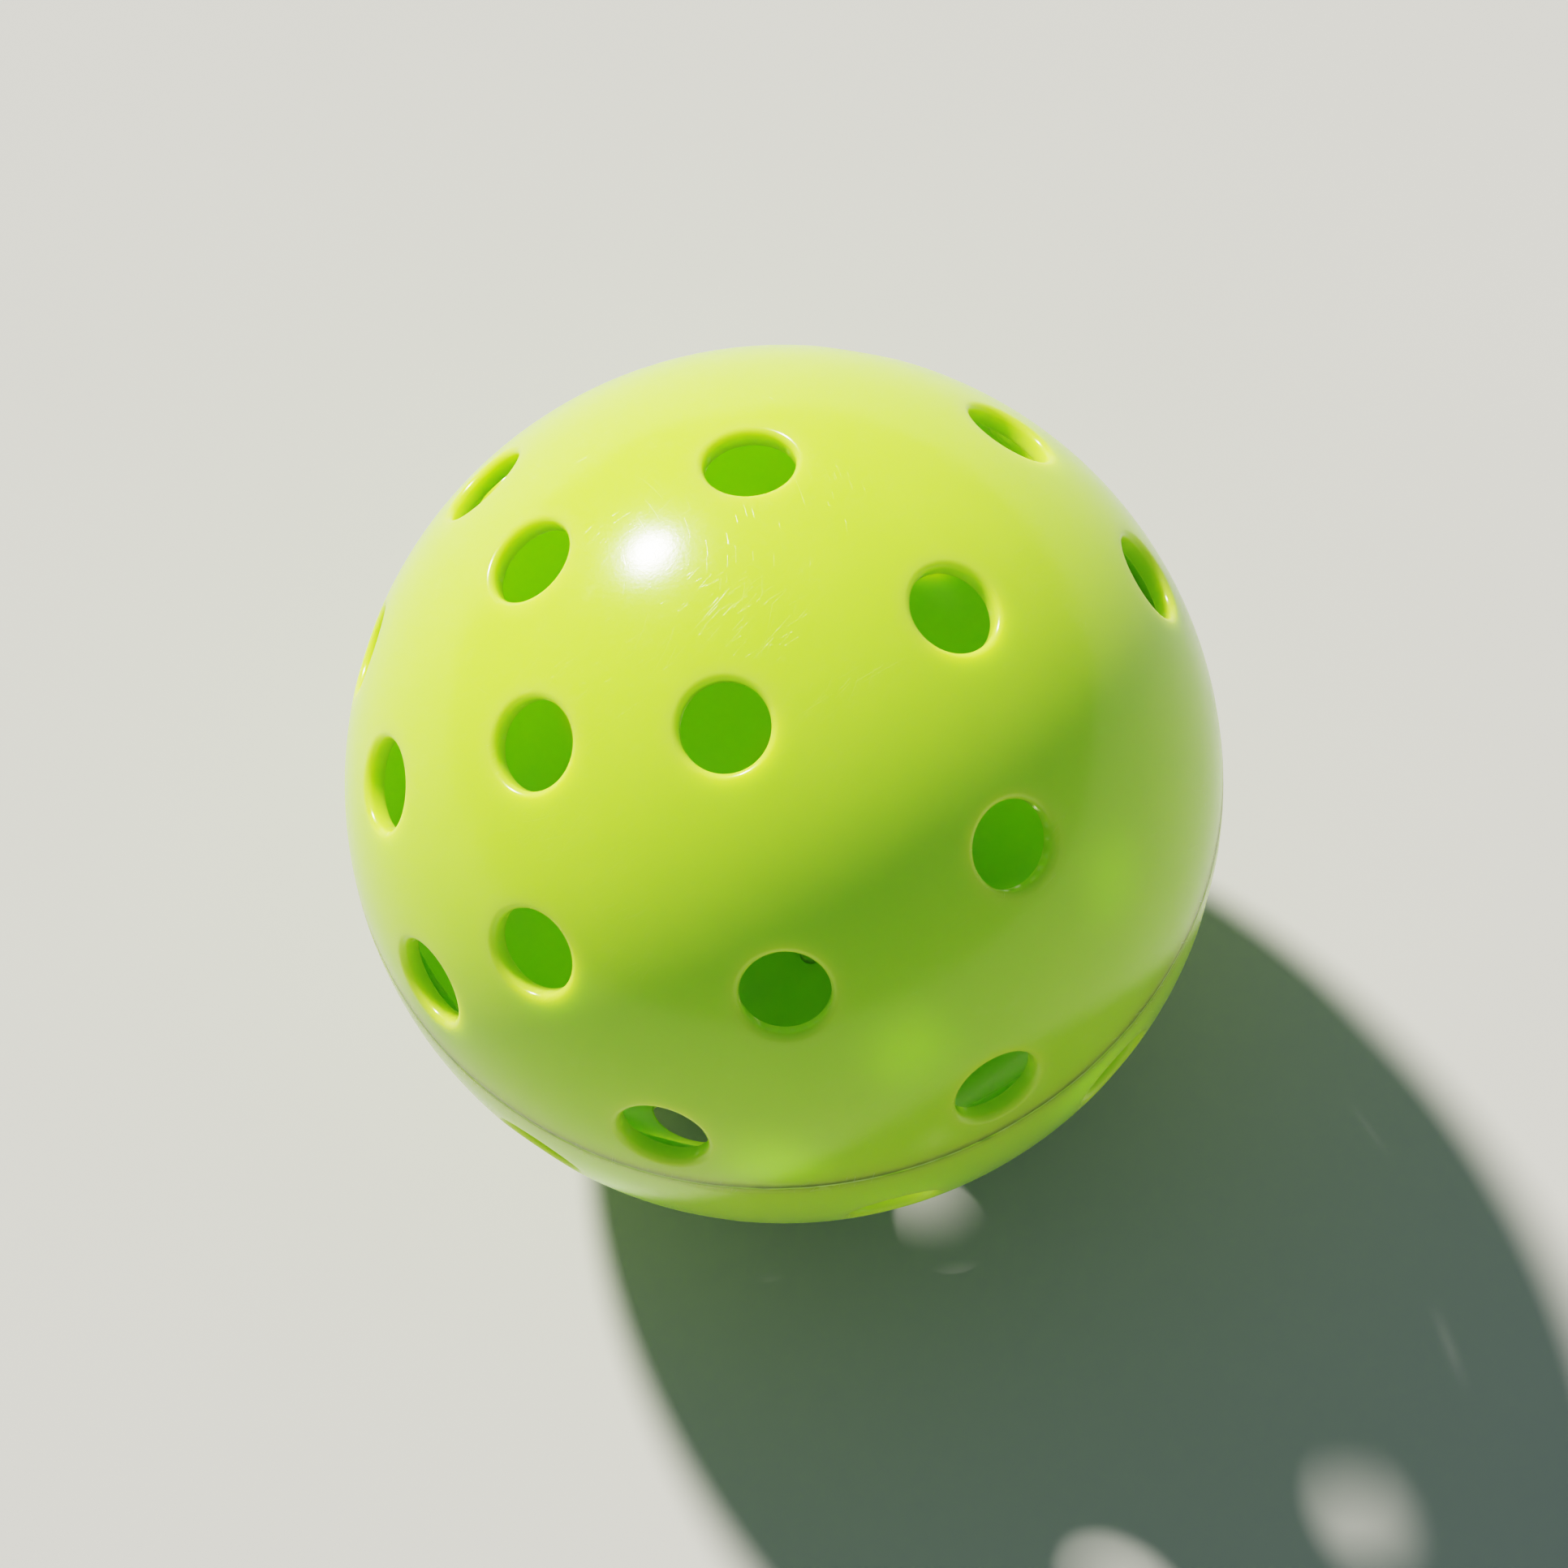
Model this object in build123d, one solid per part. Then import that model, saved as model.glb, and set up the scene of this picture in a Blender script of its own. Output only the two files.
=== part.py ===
"""Outdoor pickleball ball: two holed, injection-moulded half shells welded together at the equator.

Frame: origin at the ball's centre, +Z through the pole of the upper half, the weld in the XY plane.
Sizes are in millimetres and angles in degrees. An azimuth is counted from +X towards +Y.
"""

from build123d import *
import math
import os

# The ball
BALL_DIAMETER = 74.0
WALL_THICKNESS = 1.8

# Air holes: a straight round wall with a rounded lip outside and a broken edge inside
HOLE_DIAMETER = 7.6
OUTER_LIP_RADIUS = 0.6
INNER_LIP_RADIUS = 0.25
DRILL_LENGTH = 6.0

# The holes of one half: angle from the pole, azimuth. Five stand round the pole, eight in the middle belt and
# seven along the rim, spread as evenly as the two halves together allow.
HOLES = [
    (18, 249),
    (21, 84.5),
    (26, 351.5),
    (33, 153),
    (35, 200),
    (47.5, 311),
    (53, 265),
    (53.5, 38.5),
    (55, 134),
    (57, 223),
    (63, 184),
    (65, 11),
    (67, 70),
    (73, 158),
    (77, 208),
    (78, 123),
    (79, 44),
    (79, 95),
    (79.5, 246.5),
    (79.5, 292),
]
# The lower half is the same moulding, turned over about this azimuth
TURN_AZIMUTH = 37

# Rim land: the wall thickens inwards beside the weld and tapers back to the plain wall
LAND_THICKNESS = 2.4
LAND_HEIGHT = 1.0
TAPER_HEIGHT = 0.8
RIM_EDGE_BREAK = 0.05

# Weld: a thin web of remelted plastic between the rims, with a double roll of flash on its inside
WEB_HEIGHT = 0.3
WEB_RECESS = 0.02
FLASH_ROLL_RADIUS = 0.55
FLASH_ROLL_HEIGHT = 0.5
FLASH_ROLL_INSET = 0.2

# Gate vestige, the stub left by the moulding's feed point inside the pole
GATE_DIAMETER = 1.8
GATE_HEIGHT = 0.35

OUTER_RADIUS = BALL_DIAMETER / 2
INNER_RADIUS = OUTER_RADIUS - WALL_THICKNESS
LAND_RADIUS = OUTER_RADIUS - LAND_THICKNESS
HOLE_RADIUS = HOLE_DIAMETER / 2
RIM_HEIGHT = WEB_HEIGHT / 2
TOLERANCE = 1e-3


def across_sphere(radius, height):
    """How far from its axis a sphere's surface is, at a height above its centre."""
    return math.sqrt(radius**2 - height**2)


def above_rim(shape):
    """The part of a shape above the upper half's rim face."""
    reach = 2 * BALL_DIAMETER
    return shape & Pos(0, 0, RIM_HEIGHT + reach / 2) * Box(reach, reach, reach)


def rim_land():
    """The inward band that thickens the wall beside the weld, let a little way into the wall."""
    land_top = RIM_HEIGHT + LAND_HEIGHT
    taper_top = land_top + TAPER_HEIGHT
    wall_middle = OUTER_RADIUS - WALL_THICKNESS / 2
    section = Polyline(
        (LAND_RADIUS, RIM_HEIGHT),
        (LAND_RADIUS, land_top),
        (across_sphere(INNER_RADIUS, taper_top), taper_top),
        (across_sphere(wall_middle, taper_top), taper_top),
        (across_sphere(wall_middle, RIM_HEIGHT), RIM_HEIGHT),
        close=True,
    )
    return revolve(Plane.XZ * make_face(section), Axis.Z)


def gate_vestige():
    """The feed point's stub, standing inwards from the inside of the pole."""
    wall_bite = WALL_THICKNESS / 2
    stub_height = GATE_HEIGHT + wall_bite
    return Pos(0, 0, INNER_RADIUS + wall_bite - stub_height / 2) * Cylinder(GATE_DIAMETER / 2, stub_height)


def hole_drill(polar_angle, azimuth):
    """A cylinder through the wall, pointing at the ball's centre."""
    middle = OUTER_RADIUS - WALL_THICKNESS / 2
    drill = Pos(0, 0, middle) * Cylinder(HOLE_RADIUS, DRILL_LENGTH)
    return Rot(0, 0, azimuth) * Rot(0, polar_angle, 0) * drill


def hole_edges(shell, sphere_radius):
    """The round edges where the holes' walls meet the sphere of a given radius."""
    walls = shell.faces().filter_by(GeomType.CYLINDER)
    hole_walls = [wall for wall in walls if abs(wall.radius - HOLE_RADIUS) < TOLERANCE]
    found = ShapeList()
    for wall in hole_walls:
        for edge in wall.edges():
            if all(abs(edge.position_at(along).length - sphere_radius) < TOLERANCE for along in (0, 0.5, 1)):
                found.append(edge)
    return found


def half_shell():
    """One moulded half, in the upper half's place."""
    shell = above_rim(Sphere(OUTER_RADIUS) - Sphere(INNER_RADIUS)) + rim_land() + gate_vestige()
    rim_edges = shell.edges().filter_by(GeomType.CIRCLE).group_by(Axis.Z)[0]
    shell = fillet(rim_edges.sort_by(SortBy.RADIUS)[-1], RIM_EDGE_BREAK)
    shell = shell - [hole_drill(polar_angle, azimuth) for polar_angle, azimuth in HOLES]
    shell = fillet(hole_edges(shell, OUTER_RADIUS), OUTER_LIP_RADIUS)
    return fillet(hole_edges(shell, INNER_RADIUS), INNER_LIP_RADIUS)


def turned_over(shell):
    """The same moulding in the lower half's place."""
    turn = math.radians(TURN_AZIMUTH)
    turn_axis = Axis((0, 0, 0), (math.cos(turn), math.sin(turn), 0))
    return shell.rotate(turn_axis, 180)


def weld_seam():
    """The ring of remelted plastic: a web across the wall, and two rolls of flash on the rim lands."""
    web_length = LAND_THICKNESS - WEB_RECESS
    roll_place = LAND_RADIUS - FLASH_ROLL_INSET
    rolls = Locations((roll_place, FLASH_ROLL_HEIGHT), (roll_place, -FLASH_ROLL_HEIGHT))
    section = Sketch() + [place * Circle(FLASH_ROLL_RADIUS) for place in rolls]
    section -= Pos(LAND_RADIUS + BALL_DIAMETER / 2, 0) * Rectangle(BALL_DIAMETER, BALL_DIAMETER)
    section += Pos(LAND_RADIUS + web_length / 2, 0) * Rectangle(web_length, WEB_HEIGHT)
    return revolve(Plane.XZ * section, Axis.Z)


upper = half_shell()
pieces = {
    "upper_half_shell": upper,
    "lower_half_shell": turned_over(upper),
    "weld_seam": weld_seam(),
}
os.makedirs("parts", exist_ok=True)
for name, piece in pieces.items():
    export_step(piece, f"parts/{name}.step")
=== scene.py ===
import bmesh
import bpy
import math
from mathutils import Matrix, Vector, noise


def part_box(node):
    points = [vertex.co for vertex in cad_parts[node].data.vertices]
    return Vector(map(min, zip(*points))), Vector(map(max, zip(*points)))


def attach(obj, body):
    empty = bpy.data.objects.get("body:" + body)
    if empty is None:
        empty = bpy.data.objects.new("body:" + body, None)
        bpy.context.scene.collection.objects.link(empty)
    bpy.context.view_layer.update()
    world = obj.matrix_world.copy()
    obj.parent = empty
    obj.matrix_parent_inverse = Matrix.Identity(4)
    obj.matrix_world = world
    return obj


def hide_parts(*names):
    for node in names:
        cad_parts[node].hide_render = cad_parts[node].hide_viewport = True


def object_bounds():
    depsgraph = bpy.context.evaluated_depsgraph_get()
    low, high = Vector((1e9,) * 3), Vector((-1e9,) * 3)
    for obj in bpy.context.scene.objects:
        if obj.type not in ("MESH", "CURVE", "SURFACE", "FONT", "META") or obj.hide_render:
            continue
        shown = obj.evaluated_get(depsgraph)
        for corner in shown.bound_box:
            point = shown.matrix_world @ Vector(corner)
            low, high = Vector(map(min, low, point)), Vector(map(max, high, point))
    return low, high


# A hard outdoor pickleball ball: two moulded half shells of translucent neon plastic, welded
# together at the equator. Everything is in metres, with the ball's centre at the origin and the
# weld in the XY plane.
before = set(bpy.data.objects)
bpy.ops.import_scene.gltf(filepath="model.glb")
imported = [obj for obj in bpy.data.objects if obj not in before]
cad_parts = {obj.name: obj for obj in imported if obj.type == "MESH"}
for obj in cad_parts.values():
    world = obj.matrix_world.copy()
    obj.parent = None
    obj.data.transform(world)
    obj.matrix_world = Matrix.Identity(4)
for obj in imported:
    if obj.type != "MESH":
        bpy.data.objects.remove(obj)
cad_low, cad_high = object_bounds()
bpy.ops.object.select_all(action="DESELECT")


# Upper half shell
# One injection-moulded half of the ball, in tough, glossy, translucent polyethylene. Pins in the
# mould form its air holes, each with a full round lip outside and a small broken edge inside. The
# wall thickens inwards beside the rim, so that the weld has more to hold.
shell_low, shell_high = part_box("upper_half_shell")
ball_radius = shell_high.z
rim_height = shell_low.z
wall_thickness = 0.0018
inner_radius = ball_radius - wall_thickness
hole_radius = 0.0038
outer_lip = 0.0006
inner_lip = 0.00025
land_thickness = 0.0024
land_radius = ball_radius - land_thickness
land_top = rim_height + 0.0010
taper_top = land_top + 0.0008
rim_edge_break = 0.00005

# The holes: angle from the pole and azimuth, in degrees
holes = [
    (18, 249),
    (21, 84.5),
    (26, 351.5),
    (33, 153),
    (35, 200),
    (47.5, 311),
    (53, 265),
    (53.5, 38.5),
    (55, 134),
    (57, 223),
    (63, 184),
    (65, 11),
    (67, 70),
    (73, 158),
    (77, 208),
    (78, 123),
    (79, 44),
    (79, 95),
    (79.5, 246.5),
    (79.5, 292),
]
# The lower half is the same moulding, turned over about this azimuth
turn_azimuth = math.radians(37)
turn_axis = Vector((math.cos(turn_azimuth), math.sin(turn_azimuth), 0))
half_turn = math.pi
turn_over = Matrix.Rotation(half_turn, 4, turn_axis)


def hole_axis(polar_angle, azimuth):
    """The direction of a hole from the ball's centre."""
    polar_angle, azimuth = math.radians(polar_angle), math.radians(azimuth)
    sideways = math.sin(polar_angle)
    across = (sideways * math.cos(azimuth), sideways * math.sin(azimuth))
    return Vector((*across, math.cos(polar_angle)))


upper_axes = [hole_axis(polar_angle, azimuth) for polar_angle, azimuth in holes]
hole_axes = upper_axes + [turn_over @ axis for axis in upper_axes]


def hole_at(place):
    """The nearest hole's direction, and the way out from that hole's middle at a place."""
    axis = max(hole_axes, key=place.dot)
    return axis, (place - axis * place.dot(axis)).normalized()


def rounded(centre, radius, start, end, steps):
    """The points of a round stretch of a section, from its start angle to its end angle."""
    across, up = centre
    angles = [start + (end - start) * step / steps for step in range(steps + 1)]
    return [(across + radius * math.cos(angle), up + radius * math.sin(angle)) for angle in angles]


def make_active(piece):
    """Selects a piece, and nothing else, for the operators that follow."""
    bpy.ops.object.select_all(action="DESELECT")
    piece.select_set(True)
    bpy.context.view_layer.objects.active = piece


def pick_edges(wanted):
    """Selects, in edit mode, the open border edges whose middles are wanted, and nothing else."""
    bpy.ops.mesh.select_all(action="DESELECT")
    shape = bmesh.from_edit_mesh(bpy.context.object.data)
    for edge in shape.edges:
        if edge.is_boundary and wanted((edge.verts[0].co + edge.verts[1].co) / 2):
            edge.select_set(True)
    bmesh.update_edit_mesh(bpy.context.object.data)


def extrude_border(put):
    """Extrudes the selected border once, and moves each new point to where put says."""
    bpy.ops.mesh.extrude_edges_move()
    shape = bmesh.from_edit_mesh(bpy.context.object.data)
    for point in shape.verts:
        if point.select:
            point.co = put(point.co)
    bmesh.update_edit_mesh(bpy.context.object.data)


# The lip's section, as (distance from the hole's middle, height along the hole from the ball's
# centre): the outer lip, the hole's straight wall, the inner edge and the end of the plain inside
outer_roll = hole_radius + outer_lip
outer_roll_height = math.sqrt((ball_radius - outer_lip) ** 2 - outer_roll**2)
lip_angle = math.atan2(outer_roll, outer_roll_height)
outer_start = half_turn / 2 - lip_angle
outer_round = rounded((outer_roll, outer_roll_height), outer_lip, outer_start, half_turn, 9)
inner_roll = hole_radius + inner_lip
inner_roll_height = math.sqrt((inner_radius + inner_lip) ** 2 - inner_roll**2)
inner_end = half_turn * 1.5 - math.atan2(inner_roll, inner_roll_height)
inner_round = rounded((inner_roll, inner_roll_height), inner_lip, half_turn, inner_end, 4)
inside_circle = (inner_radius * math.sin(lip_angle), inner_radius * math.cos(lip_angle))
lip_section = outer_round[1:] + inner_round + [inside_circle]


def settle_on_ball(shell):
    """Puts every point back on the ball, and each hole's border on its lip's outer circle."""
    shape = bmesh.new()
    shape.from_mesh(shell.data)
    for point in shape.verts:
        direction = point.co.normalized()
        if point.is_boundary:
            axis, outwards = hole_at(direction)
            direction = axis * math.cos(lip_angle) + outwards * math.sin(lip_angle)
        point.co = direction * ball_radius
    shape.to_mesh(shell.data)
    shape.free()


# A net of triangles between the hole middles has its corners cut off. The cuts are the holes, and
# what is left is rounded out into the ball's surface.
corner_cut = 0.0045
times_rounded = 4
hole_middles = bpy.data.meshes.new("upper_shell_moulding")
hole_middles.from_pydata([axis * ball_radius for axis in hole_axes], [], [])
upper_shell = bpy.data.objects.new("upper_shell_moulding", hole_middles)
bpy.context.collection.objects.link(upper_shell)
make_active(upper_shell)
bpy.ops.object.mode_set(mode="EDIT")
bpy.ops.mesh.select_all(action="SELECT")
bpy.ops.mesh.convex_hull(join_triangles=False)
bpy.ops.mesh.select_all(action="SELECT")
bpy.ops.mesh.bevel(
    offset=corner_cut,
    offset_type="OFFSET",
    affect="VERTICES",
    clamp_overlap=False,
)
bpy.ops.mesh.select_all(action="DESELECT")
net = bmesh.from_edit_mesh(upper_shell.data)
for face in net.faces:
    nearest = [hole_at(corner.co)[0] for corner in face.verts]
    face.select_set(all(axis is nearest[0] for axis in nearest))
bmesh.update_edit_mesh(upper_shell.data)
bpy.ops.mesh.delete(type="ONLY_FACE")
bpy.ops.object.mode_set(mode="OBJECT")
settle_on_ball(upper_shell)
for _ in range(times_rounded):
    rounding = upper_shell.modifiers.new("rounding", "SUBSURF")
    rounding.levels = rounding.render_levels = 1
    bpy.ops.object.modifier_apply(modifier="rounding")
    settle_on_ball(upper_shell)

# The outside is cut off at the rim, and the inside is a smaller copy of it, cut off at the taper
bpy.ops.object.mode_set(mode="EDIT")
bpy.ops.mesh.select_all(action="SELECT")
bpy.ops.mesh.bisect(plane_co=(0, 0, rim_height), plane_no=(0, 0, 1), clear_inner=True)
bpy.ops.mesh.select_all(action="SELECT")
bpy.ops.mesh.duplicate()
bpy.ops.transform.resize(value=(inner_radius / ball_radius,) * 3, center_override=(0, 0, 0))
bpy.ops.mesh.flip_normals()
bpy.ops.mesh.bisect(plane_co=(0, 0, taper_top), plane_no=(0, 0, 1), clear_inner=True)

# Each lip is drawn in from the outside ring by ring, down through its hole to the inside
between_walls = (ball_radius + inner_radius) / 2
just_above_rim = rim_height + 0.0001
merge_distance = 2e-6


def is_hole_border(middle):
    return middle.length > between_walls and middle.z > just_above_rim


def is_rim_border(middle):
    return middle.length > between_walls and middle.z < just_above_rim


def put_on_lip(distance, height):
    """Where extrude_border puts a point of a lip's next ring."""
    def put(place):
        axis, outwards = hole_at(place)
        return axis * height + outwards * distance
    return put


def put_on_rim(distance, height):
    """Where extrude_border puts a point of the rim's next ring."""
    def put(place):
        outwards = Vector((place.x, place.y, 0)).normalized()
        return outwards * distance + Vector((0, 0, height))
    return put


pick_edges(is_hole_border)
for distance, height in lip_section:
    extrude_border(put_on_lip(distance, height))
bpy.ops.mesh.select_all(action="SELECT")
bpy.ops.mesh.remove_doubles(threshold=merge_distance)

# The rim is drawn in round its broken edge, across its welding face and up its land. The taper
# bridges it to the inside.
rim_edge = math.sqrt(ball_radius**2 - rim_height**2) - rim_edge_break
rim_edge_middle = (rim_edge, rim_height + rim_edge_break)
rim_round = rounded(rim_edge_middle, rim_edge_break, 0, -half_turn / 2, 3)
rim_section = rim_round + [(land_radius, rim_height), (land_radius, land_top)]
pick_edges(is_rim_border)
for distance, height in rim_section:
    extrude_border(put_on_rim(distance, height))
pick_edges(lambda middle: True)
bpy.ops.mesh.bridge_edge_loops()
bpy.ops.object.mode_set(mode="OBJECT")

# The gate's stub, where the plastic was fed in, stands inwards from the inside of the pole. Its
# end is rounded off and dished where it tore.
stub_radius = 0.0009
stub_reach = 0.00035
stub_bite = wall_thickness / 2
stub_edge = 0.00012
dish_steps = [(0.00025, -0.0001), (0.0002, -0.00006)]
bpy.ops.mesh.primitive_cylinder_add(
    vertices=32,
    radius=stub_radius,
    depth=stub_reach + stub_bite,
    location=(0, 0, inner_radius + (stub_bite - stub_reach) / 2),
)
stub = bpy.context.object
bpy.ops.object.transform_apply(location=True)
bpy.ops.object.mode_set(mode="EDIT")
bpy.ops.mesh.select_all(action="DESELECT")
shape = bmesh.from_edit_mesh(stub.data)
for face in shape.faces:
    faces_down = face.normal.z < -0.9
    face.select_set(faces_down)
bmesh.update_edit_mesh(stub.data)
bpy.ops.mesh.bevel(offset=stub_edge, segments=3)
for inset, depth in dish_steps:
    bpy.ops.mesh.inset(thickness=inset, depth=depth)
bpy.ops.object.mode_set(mode="OBJECT")
fusing = upper_shell.modifiers.new("fusing", "BOOLEAN")
fusing.operation = "UNION"
fusing.solver = "MANIFOLD"
fusing.object = stub
make_active(upper_shell)
bpy.ops.object.modifier_apply(modifier="fusing")
bpy.data.objects.remove(stub)
sharpest_smooth_edge = math.radians(40)
bpy.ops.object.shade_smooth_by_angle(angle=sharpest_smooth_edge)

# How near each point is to a lip's crown, which catches the most knocks: 1 on the crown, and 0 on
# the plain ball and inside
worn_reach = 0.0016
lip_wear = upper_shell.data.attributes.new("lip_wear", "FLOAT", "POINT")
for point in upper_shell.data.vertices:
    axis, _ = hole_at(point.co)
    from_middle = (point.co - axis * point.co.dot(axis)).length
    is_outside = point.co.length > between_walls
    from_crown = abs(from_middle - hole_radius - outer_lip / 2) / worn_reach
    lip_wear.data[point.index].value = max(0, 1 - from_crown) if is_outside else 0


def input_group(name, inputs, outputs):
    """A node group that reads a Position and numbers, with its input and output nodes."""
    group = bpy.data.node_groups.new(name, "ShaderNodeTree")
    sockets = group.interface
    sockets.new_socket("Position", in_out="INPUT", socket_type="NodeSocketVector")
    for label, value in inputs.items():
        socket = sockets.new_socket(label, in_out="INPUT", socket_type="NodeSocketFloat")
        socket.default_value = value
    for label in outputs:
        sockets.new_socket(label, in_out="OUTPUT", socket_type="NodeSocketFloat")
    return group, group.nodes.new("NodeGroupInput"), group.nodes.new("NodeGroupOutput")


def node(tree, kind, settings=None, **inputs):
    """A new node with its settings, and its inputs set to values or linked from other nodes.

    An input is given by its name, with _ for a space, or by its number after a _.
    """
    made = tree.nodes.new(kind)
    for name, value in (settings or {}).items():
        setattr(made, name, value)
    for name, value in inputs.items():
        which = int(name[1:]) if name.startswith("_") else name.replace("_", " ")
        socket = made.inputs[which]
        if isinstance(value, bpy.types.NodeSocket):
            tree.links.new(value, socket)
        else:
            socket.default_value = value
    return made


def math_node(tree, operation, *values):
    """The result of a Math node."""
    inputs = {f"_{number}": value for number, value in enumerate(values)}
    return node(tree, "ShaderNodeMath", {"operation": operation}, **inputs).outputs[0]


def between(tree, value, low, high):
    """0 below low and 1 above high, smooth between the two."""
    settings = {"interpolation_type": "SMOOTHSTEP"}
    inputs = {"Value": value, "From_Min": low, "From_Max": high}
    return node(tree, "ShaderNodeMapRange", settings, **inputs).outputs[0]


def mottle(tree, place, scale, **inputs):
    """The value of a Noise texture."""
    return node(tree, "ShaderNodeTexNoise", None, Vector=place, Scale=scale, **inputs).outputs[0]


# The skin that the mould leaves: long soft ripples where the plastic shrank, with a very fine grain
# on them, and broad clouds of slightly deeper colour
moulded_skin, given, result = input_group(
    "moulded skin",
    {"Ripple Scale": 160.0, "Grain Scale": 2600.0, "Grain Share": 0.2},
    ["Height", "Cloud"],
)
place, ripple_scale, grain_scale, grain_share = list(given.outputs)[:4]
ripple = mottle(moulded_skin, place, ripple_scale, Detail=1.0)
grain = mottle(moulded_skin, place, grain_scale, Detail=3.0, Roughness=0.6)
grain = math_node(moulded_skin, "MULTIPLY", grain, grain_share)
skin_height = math_node(moulded_skin, "ADD", ripple, grain)
cloud_scale = math_node(moulded_skin, "MULTIPLY", ripple_scale, 0.4)
cloud = mottle(moulded_skin, place, cloud_scale, Detail=3.0, Roughness=0.55)
moulded_skin.links.new(skin_height, result.inputs["Height"])
moulded_skin.links.new(between(moulded_skin, cloud, 0.35, 0.65), result.inputs["Cloud"])

# The marks of handling: hair scratches that run three ways, and small rubbed patches
handling_marks, given, result = input_group(
    "handling marks",
    {"Scratch Scale": 260.0, "Scratch Cover": 0.5, "Rub Scale": 220.0, "Rub Cover": 0.5},
    ["Scratches", "Rubs"],
)
place, scratch_scale, scratch_cover, rub_scale, rub_cover = list(given.outputs)[:5]
scratch_turns = [(0.3, 0.2, 0.5), (1.2, 0.4, 2.1), (0.5, 1.3, 1.2)]
scratch_stretch = (1.0, 0.02, 1.0)
scratched_area_scale = 90.0
scratched_area = mottle(handling_marks, place, scratched_area_scale)
scratches = 0.0
for turn in scratch_turns:
    stretched = node(
        handling_marks,
        "ShaderNodeMapping",
        {"vector_type": "TEXTURE"},
        Vector=place,
        Rotation=turn,
        Scale=scratch_stretch,
    )
    streaks = mottle(
        handling_marks, stretched.outputs[0], scratch_scale, Detail=1.0, Distortion=0.1
    )
    hairlines = between(handling_marks, streaks, 0.70, 0.74)
    scratches = math_node(handling_marks, "MAXIMUM", scratches, hairlines)
scratched_area = between(handling_marks, scratched_area, 0.45, 0.6)
scratches = math_node(handling_marks, "MULTIPLY", scratches, scratched_area)
scratches = math_node(handling_marks, "MULTIPLY", scratches, scratch_cover)
rubs = mottle(handling_marks, place, rub_scale, Detail=5.0, Roughness=0.7)
rubs = between(handling_marks, rubs, 0.56, 0.75)
rubs = math_node(handling_marks, "MULTIPLY", rubs, rub_cover)
handling_marks.links.new(scratches, result.inputs["Scratches"])
handling_marks.links.new(rubs, result.inputs["Rubs"])

# The fine lines that the trimming cutter leaves round the ball in an uneven band along the weld
trimming_lines, given, result = input_group(
    "trimming lines",
    {"Half Width": 0.0012, "Line Scale": 5200.0},
    ["Height", "Band"],
)
place, half_width, line_scale = list(given.outputs)[:3]
band_waver = 0.0008
band_waver_scale = 120.0
line_stretch = (0.02, 0.02, 1.0)
apart = node(trimming_lines, "ShaderNodeSeparateXYZ", None, _0=place)
from_weld = math_node(trimming_lines, "ABSOLUTE", apart.outputs["Z"])
uneven = mottle(trimming_lines, place, band_waver_scale)
uneven = math_node(trimming_lines, "SUBTRACT", uneven, 0.5)
uneven = math_node(trimming_lines, "MULTIPLY", uneven, band_waver)
from_weld = math_node(trimming_lines, "ADD", from_weld, uneven)
fade_start = math_node(trimming_lines, "MULTIPLY", half_width, 0.7)
past_band = between(trimming_lines, from_weld, fade_start, half_width)
band = math_node(trimming_lines, "SUBTRACT", 1.0, past_band)
drawn_round = node(trimming_lines, "ShaderNodeMapping", None, Vector=place, Scale=line_stretch)
lines = mottle(trimming_lines, drawn_round.outputs[0], line_scale)
lines = math_node(trimming_lines, "MULTIPLY", lines, band)
trimming_lines.links.new(lines, result.inputs["Height"])
trimming_lines.links.new(band, result.inputs["Band"])


def group_node(tree, group, place, **values):
    """The outputs of a group placed in a material with its own values, read at a place."""
    return node(tree, "ShaderNodeGroup", {"node_tree": group}, Position=place, **values).outputs


def mixed(tree, share, first, second):
    """A colour between two, each a colour or another node's output, by share."""
    mix = node(tree, "ShaderNodeMix", {"data_type": "RGBA"}, _0=share)
    first_colour, second_colour = mix.inputs[6], mix.inputs[7]
    for value, socket in ((first, first_colour), (second, second_colour)):
        if isinstance(value, bpy.types.NodeSocket):
            tree.links.new(value, socket)
        else:
            socket.default_value = (*value, 1.0)
    mixed_colour = mix.outputs[2]
    return mixed_colour


def blank_material(name):
    """A new material, its node tree, its Principled shader and the place that patterns read."""
    material = bpy.data.materials.new(name)
    material.use_nodes = True
    tree = material.node_tree
    shader = tree.nodes["Principled BSDF"]
    return material, tree, shader, tree.nodes.new("ShaderNodeTexCoord").outputs["Object"]


def add_up(tree, start, *parts):
    """A start value plus each part, given as (output, amount)."""
    total = start
    for part, amount in parts:
        total = math_node(tree, "MULTIPLY_ADD", part, amount, total)
    return total


# Polyethylene lets light in a few millimetres, more of its red and green than of its blue
neon_lime = (0.51, 0.84, 0.08)
deep_lime = (0.47, 0.81, 0.06)
pale_rubbed_and_painted_seam_lime = (0.58, 0.86, 0.18)
cloud_share = 0.35
polished_roughness = 0.17
shell_relief = 0.000035
polyethylene_ior = 1.44
light_reach = 0.004
light_reach_by_colour = (1.0, 1.0, 0.3)
shell_plastic, tree, shader, place = blank_material("neon polyethylene")
skin = group_node(tree, moulded_skin, place)
marks = group_node(tree, handling_marks, place, Scratch_Cover=0.35)
trimmed = group_node(tree, trimming_lines, place)
lip = node(tree, "ShaderNodeAttribute", {"attribute_name": "lip_wear"}).outputs["Fac"]
cloud = math_node(tree, "MULTIPLY", skin["Cloud"], cloud_share)
clouded = mixed(tree, cloud, neon_lime, deep_lime)
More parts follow.
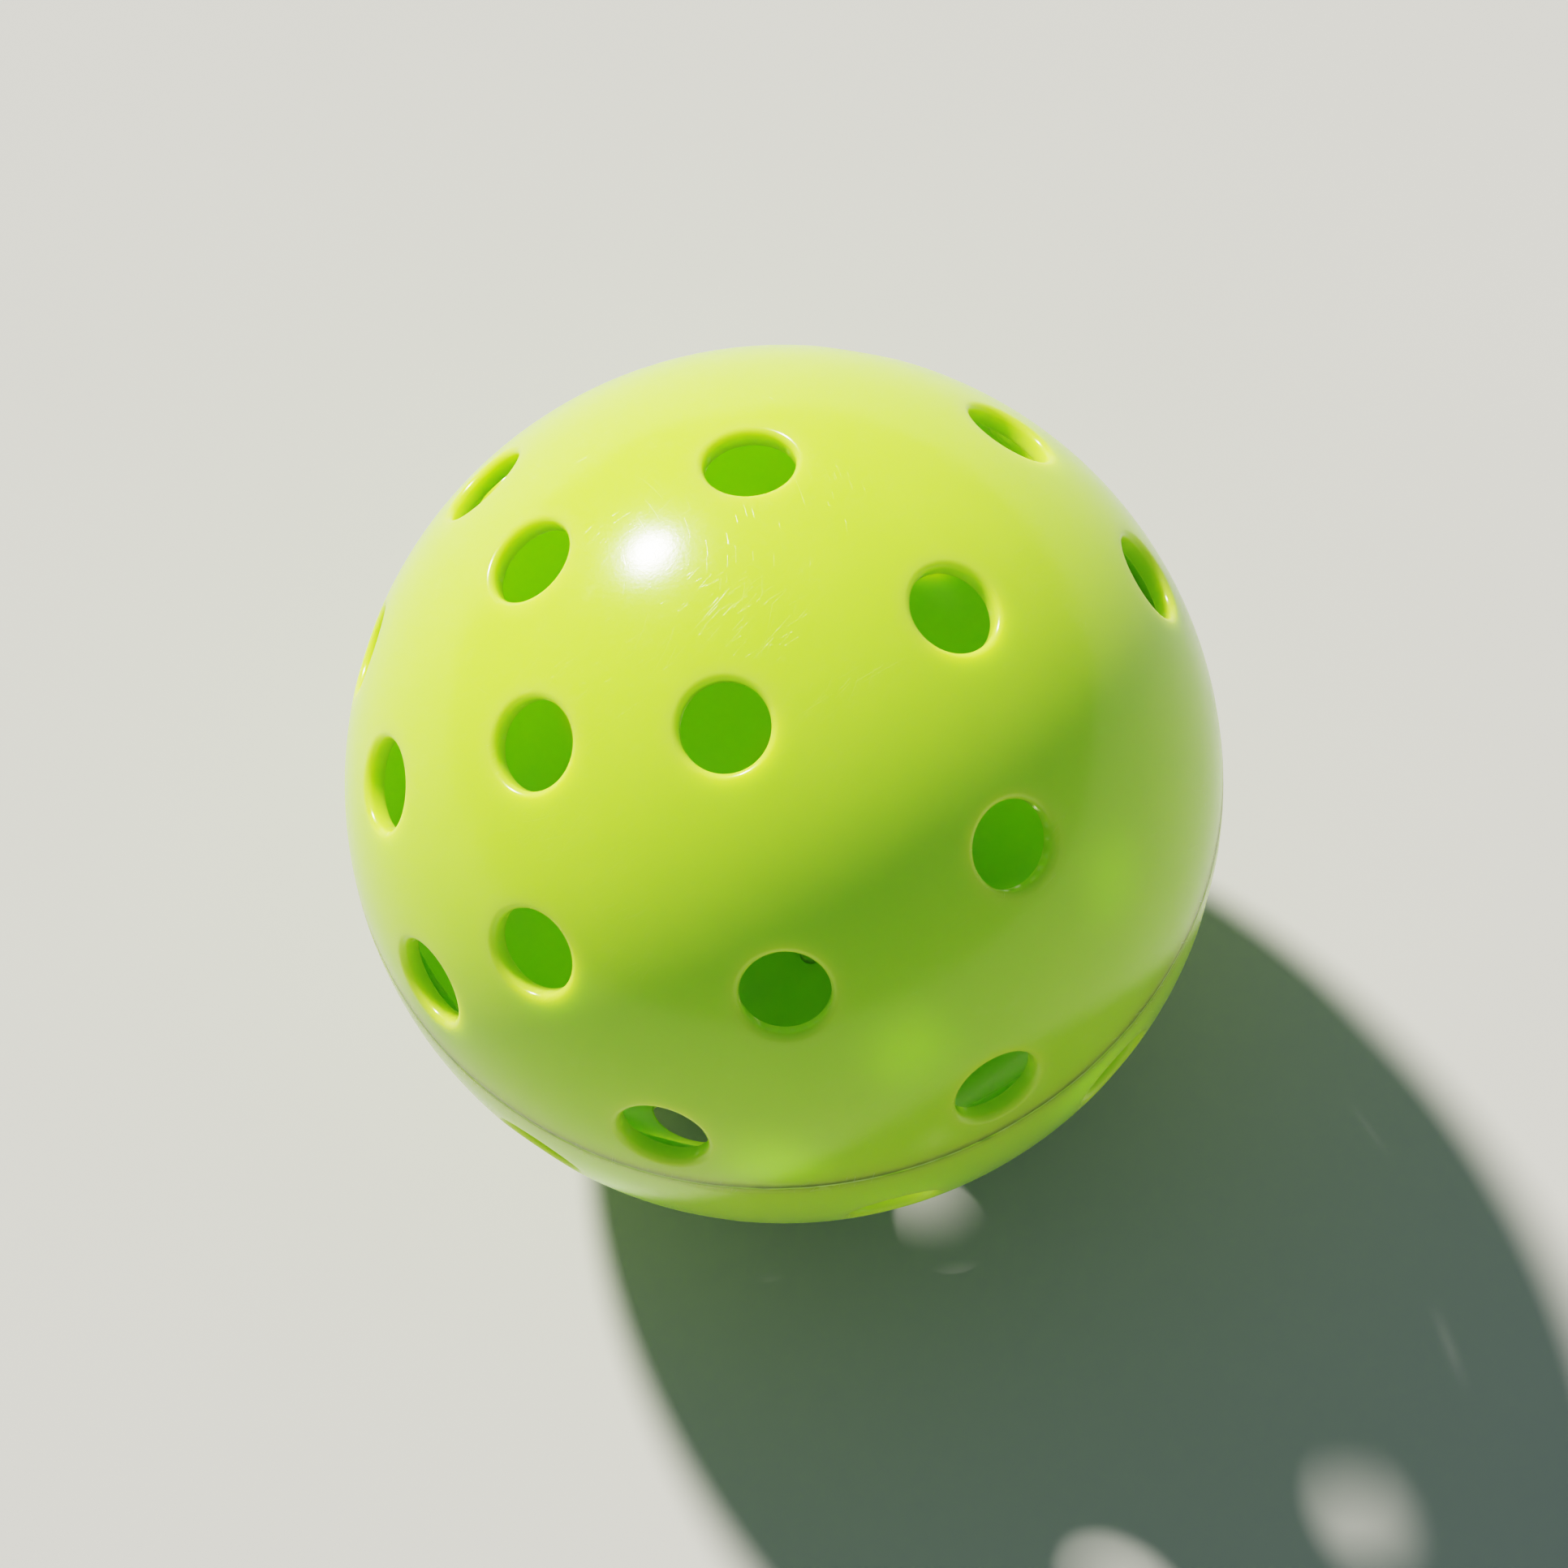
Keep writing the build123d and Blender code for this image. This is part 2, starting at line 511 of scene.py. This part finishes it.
# Rubs, scratches and each lip's crown make the skin paler. The band along the weld is painted paler
# as well: painted light that evens out the shade along the seam, where light inside the wall is
# lost at the rim faces.
wear_and_painted_seam_light = add_up(
    tree,
    0.0,
    (lip, 0.18),
    (marks["Rubs"], 0.15),
    (marks["Scratches"], 0.3),
    (trimmed["Band"], 0.06),
)
tree.links.new(mixed(tree, wear_and_painted_seam_light, clouded, pale_rubbed_and_painted_seam_lime), shader.inputs["Base Color"])
dull = add_up(
    tree,
    polished_roughness,
    (marks["Rubs"], 0.16),
    (marks["Scratches"], 0.2),
    (lip, 0.04),
    (trimmed["Band"], 0.08),
)
tree.links.new(dull, shader.inputs["Roughness"])
height = add_up(tree, skin["Height"], (marks["Scratches"], -0.35), (trimmed["Height"], 0.6))
relief = node(tree, "ShaderNodeBump", None, Strength=1.0, Distance=shell_relief, Height=height)
tree.links.new(relief.outputs[0], shader.inputs["Normal"])
shader.inputs["IOR"].default_value = polyethylene_ior
shader.inputs["Subsurface Weight"].default_value = 1.0
shader.inputs["Subsurface Radius"].default_value = light_reach_by_colour
shader.inputs["Subsurface Scale"].default_value = light_reach

# The union left an empty material slot, so the slots are cleared first
upper_shell.data.materials.clear()
upper_shell.data.materials.append(shell_plastic)
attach(upper_shell, "root")
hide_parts("upper_half_shell")


# Lower half shell
# The same moulding from the same mould and the same plastic, turned over so that the two rims
# meet. Nothing is added or taken away, so its holes carry on the upper half's pattern.
lower_shell = bpy.data.objects.new("lower_shell_moulding", upper_shell.data.copy())
lower_shell.data.name = "lower_shell_moulding"
lower_shell.data.transform(turn_over)
bpy.context.collection.objects.link(lower_shell)
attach(lower_shell, "root")
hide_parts("lower_half_shell")


# Weld seam
# The ring of polyethylene that melts when the two rims are pressed together. Its outside is
# trimmed almost flush, and its inside is left as it squeezed out: a double roll of flash that lies
# on the rim lands.
_, weld_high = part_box("weld_seam")
web_radius = weld_high.x
roll_radius = 0.00055
roll_inset = 0.0002
roll_height = weld_high.z - roll_radius
roll_middle = land_radius - roll_inset
leave_land = math.acos(roll_inset / roll_radius)
meet_rolls = math.asin(roll_height / roll_radius)
roll_centre = (roll_middle, roll_height)
upper_roll = rounded(roll_centre, roll_radius, leave_land, half_turn + meet_rolls, 12)
web = [(web_radius, 0), (web_radius, rim_height), (land_radius, rim_height)]
upper_half_section = web + upper_roll
lower_half_section = [(across, -up) for across, up in reversed(upper_half_section[1:-1])]
weld_section = upper_half_section + lower_half_section
weld_outline = bpy.data.meshes.new("weld_flash_ring")
points = [(across, 0, up) for across, up in weld_section]
outline_edges = [(number, (number + 1) % len(points)) for number in range(len(points))]
weld_outline.from_pydata(points, outline_edges, [])
weld = bpy.data.objects.new("weld_flash_ring", weld_outline)
bpy.context.collection.objects.link(weld)
make_active(weld)
bpy.ops.object.mode_set(mode="EDIT")
bpy.ops.mesh.select_all(action="SELECT")
steps_round = 360
bpy.ops.mesh.spin(steps=steps_round, angle=math.tau, center=(0, 0, 0), axis=(0, 0, 1))
bpy.ops.mesh.select_all(action="SELECT")
bpy.ops.mesh.remove_doubles(threshold=merge_distance)
bpy.ops.mesh.normals_make_consistent(inside=False)
bpy.ops.object.mode_set(mode="OBJECT")

# The flash squeezes out further in some places than in others
lump_size = 0.00012
drawn_back = 0.6
broad_lumps, fine_lumps = 180, 520
fine_lump_share = 0.5
for point in weld.data.vertices:
    outwards = Vector((point.co.x, point.co.y, 0)).normalized()
    squeezed = (land_radius - point.co.dot(outwards)) / roll_radius
    is_flash = squeezed > 0.1
    if is_flash:
        lump = noise.noise(point.co * broad_lumps)
        lump += fine_lump_share * noise.noise(point.co * fine_lumps)
        point.co -= outwards * lump_size * min(1, squeezed) * (lump - drawn_back)
bpy.ops.object.shade_smooth_by_angle(angle=sharpest_smooth_edge)

# The weld is painted a little brighter and greener than the moulded skin: a painted glow that
# stands in for the light its plastic lets through, which this part doesn't scatter. It is also
# duller.
weld_lime_with_painted_glow = (0.52, 0.95, 0.04)
weld_roughness = 0.25
weld_relief = 0.00006
weld_plastic, tree, shader, place = blank_material("remelted polyethylene")
skin = group_node(tree, moulded_skin, place, Ripple_Scale=900.0)
trimmed = group_node(tree, trimming_lines, place, Line_Scale=9000.0)
base = mixed(tree, skin["Cloud"], weld_lime_with_painted_glow, pale_rubbed_and_painted_seam_lime)
tree.links.new(base, shader.inputs["Base Color"])
dull = add_up(tree, weld_roughness, (trimmed["Height"], 0.25))
tree.links.new(dull, shader.inputs["Roughness"])
height = math_node(tree, "ADD", trimmed["Height"], skin["Height"])
relief = node(tree, "ShaderNodeBump", None, Strength=1.0, Distance=weld_relief, Height=height)
tree.links.new(relief.outputs[0], shader.inputs["Normal"])
shader.inputs["IOR"].default_value = polyethylene_ior
weld.data.materials.append(weld_plastic)
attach(weld, "root")
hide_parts("weld_seam")


# Floor
# A plain, pale, matt studio floor, far wider than the view. The ball rests on it at its lowest
# point.
floor_radius = 30.0
floor_grey = (0.46, 0.46, 0.465)
paler_floor_grey = (0.49, 0.49, 0.495)
floor_roughness = 0.85
bpy.ops.object.select_all(action="DESELECT")
bpy.ops.mesh.primitive_circle_add(
    vertices=128,
    radius=floor_radius,
    fill_type="NGON",
    location=(0, 0, cad_low.z),
)
floor = bpy.context.object
floor.name = "studio_floor"
floor_paint, tree, shader, place = blank_material("pale studio floor")
floor_mottle = mottle(tree, place, 30.0, Detail=4.0)
floor_colour = mixed(tree, floor_mottle, floor_grey, paler_floor_grey)
tree.links.new(floor_colour, shader.inputs["Base Color"])
shader.inputs["Roughness"].default_value = floor_roughness
floor.data.materials.append(floor_paint)


# Camera and light
# A long lens looks down steeply on the ball, rolled a little. One sun-like key light shines from
# high behind it on the left, and the room fills the rest.
camera_distance = 0.9
camera_elevation = math.radians(64.7)
camera_roll = math.radians(8.9)
ball_share_of_frame = 0.56
towards_camera = Vector((0, -math.cos(camera_elevation), math.sin(camera_elevation)))
camera_data = bpy.data.cameras.new("camera")
half_sensor = camera_data.sensor_width / 2
camera_data.lens = half_sensor * camera_distance * ball_share_of_frame / ball_radius
camera = bpy.data.objects.new("camera", camera_data)
camera.location = towards_camera * camera_distance
camera.rotation_mode = "QUATERNION"
aim = (-towards_camera).to_track_quat("-Z", "Y").to_matrix()
rolled = Matrix.Rotation(-camera_roll, 3, towards_camera) @ aim
camera.rotation_quaternion = rolled.to_quaternion()
bpy.context.collection.objects.link(camera)
bpy.context.scene.camera = camera

key_direction = Vector((-0.345, 0.688, 0.636))
key_light = bpy.data.lights.new("key_light", "SUN")
key_light.energy = 8.0
key_light.angle = math.radians(5.5)
key_light.color = (1.0, 0.93, 0.82)
key_stand = bpy.data.objects.new("key_light", key_light)
key_stand.location = key_direction
key_stand.rotation_mode = "QUATERNION"
key_stand.rotation_quaternion = key_direction.to_track_quat("Z", "Y")
bpy.context.collection.objects.link(key_stand)

# The room gives a cool even fill. The camera sees it as a pale wall beyond the floor.
fill_colour = (0.78, 1.0, 0.95, 1.0)
fill_strength = 0.24
wall_colour = (0.93, 0.95, 0.94, 1.0)
room = bpy.data.worlds.new("studio")
room.use_nodes = True
tree = room.node_tree
fill = tree.nodes["Background"]
fill.inputs["Color"].default_value = fill_colour
fill.inputs["Strength"].default_value = fill_strength
wall = node(tree, "ShaderNodeBackground", None, Color=wall_colour, Strength=1.0)
seen = tree.nodes.new("ShaderNodeLightPath").outputs["Is Camera Ray"]
both = tree.nodes.new("ShaderNodeMixShader")
tree.links.new(seen, both.inputs[0])
tree.links.new(fill.outputs[0], both.inputs[1])
tree.links.new(wall.outputs[0], both.inputs[2])
tree.links.new(both.outputs[0], tree.nodes["World Output"].inputs["Surface"])
bpy.context.scene.world = room
bpy.context.scene.view_settings.view_transform = "Filmic"
bpy.context.scene.view_settings.look = "High Contrast"
